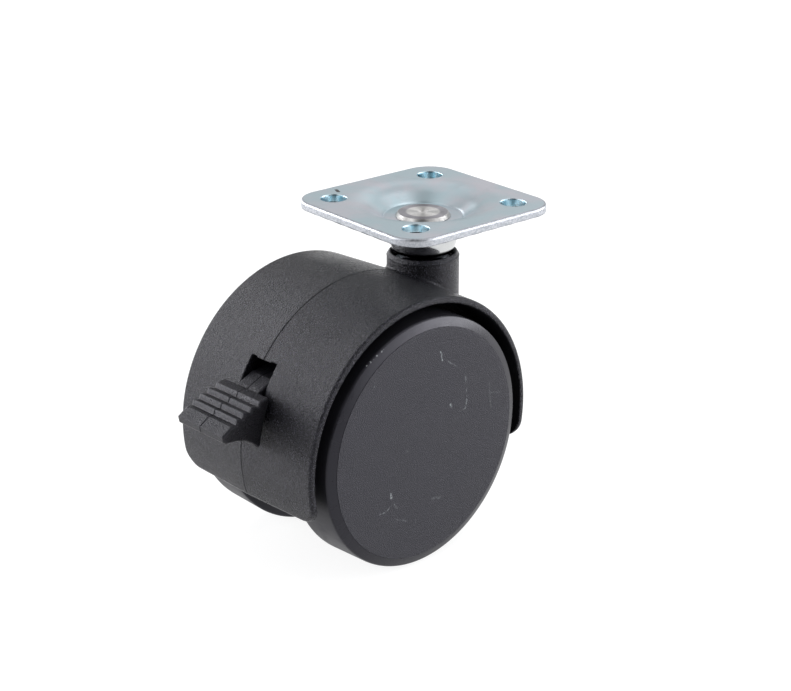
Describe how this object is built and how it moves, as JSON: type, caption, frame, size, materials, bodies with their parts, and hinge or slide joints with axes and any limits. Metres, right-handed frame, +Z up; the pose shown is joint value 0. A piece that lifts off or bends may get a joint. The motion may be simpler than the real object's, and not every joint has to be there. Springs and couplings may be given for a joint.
{
  "type": "twin-wheel swivel caster with brake",
  "caption": "Hooded twin-wheel swivel caster with a square screw-on top plate, a riveted swivel pin and a foot-operated brake lever.",
  "frame": {"origin": "on the swivel axis, in the plane of the top plate's upper face", "axes": "+Z up, out of the plate's upper face and along the swivel axis; the wheels' axle runs along Y, 18.6 mm towards -X and 40 mm below the origin; the brake lever points to -X"},
  "size_m": [0.0769, 0.04, 0.0654],
  "materials": {
    "zinc_steel": "bright zinc plating with a faint blue passivation",
    "nickel_steel": "nickel plating, polished, slightly warm",
    "plain_steel": "turned steel",
    "spring_steel": "rolled spring steel",
    "black_nylon": "fine spark-eroded mould texture",
    "lever_nylon": "smooth satin moulding",
    "wheel_nylon": "glossy moulded tread and shoulder",
    "cap_nylon": "fine matt texture, lightly scuffed",
    "acetal": "natural acetal"
  },
  "bodies": {
    "plate": {"top_plate": "zinc_steel", "swivel_pin": "nickel_steel", "pin_retaining_ring": "spring_steel"},
    "housing": {"housing": "black_nylon", "swivel_bush": "plain_steel", "thrust_washer": "plain_steel", "axle": "plain_steel", "axle_washer_left": "plain_steel", "axle_washer_right": "plain_steel", "axle_clip_left": "spring_steel", "axle_clip_right": "spring_steel", "lever_pin": "plain_steel", "detent_spring": "spring_steel"},
    "wheel_left": {"wheel_body_left": "wheel_nylon", "hub_bush_left": "acetal", "wheel_cap_left": "cap_nylon"},
    "wheel_right": {"wheel_body_right": "wheel_nylon", "hub_bush_right": "acetal", "wheel_cap_right": "cap_nylon"},
    "lever": {"brake_lever": "lever_nylon", "brake_bar": "plain_steel"}
  },
  "joints": [
    {"name": "swivel", "type": "hinge", "parent": "plate", "child": "housing", "pos_m": [0, 0, -0.02], "axis": [0, 0, 1], "continuous": true},
    {"name": "wheel_left_spin", "type": "hinge", "parent": "housing", "child": "wheel_left", "pos_m": [-0.0186, -0.0149, -0.04], "axis": [0, 1, 0], "continuous": true},
    {"name": "wheel_right_spin", "type": "hinge", "parent": "housing", "child": "wheel_right", "pos_m": [-0.0186, 0.0149, -0.04], "axis": [0, 1, 0], "continuous": true},
    {"name": "brake_release", "type": "hinge", "parent": "housing", "child": "lever", "pos_m": [-0.0375, 0, -0.0287], "axis": [0, 1, 0], "range_deg": [0, 24]}
  ]
}
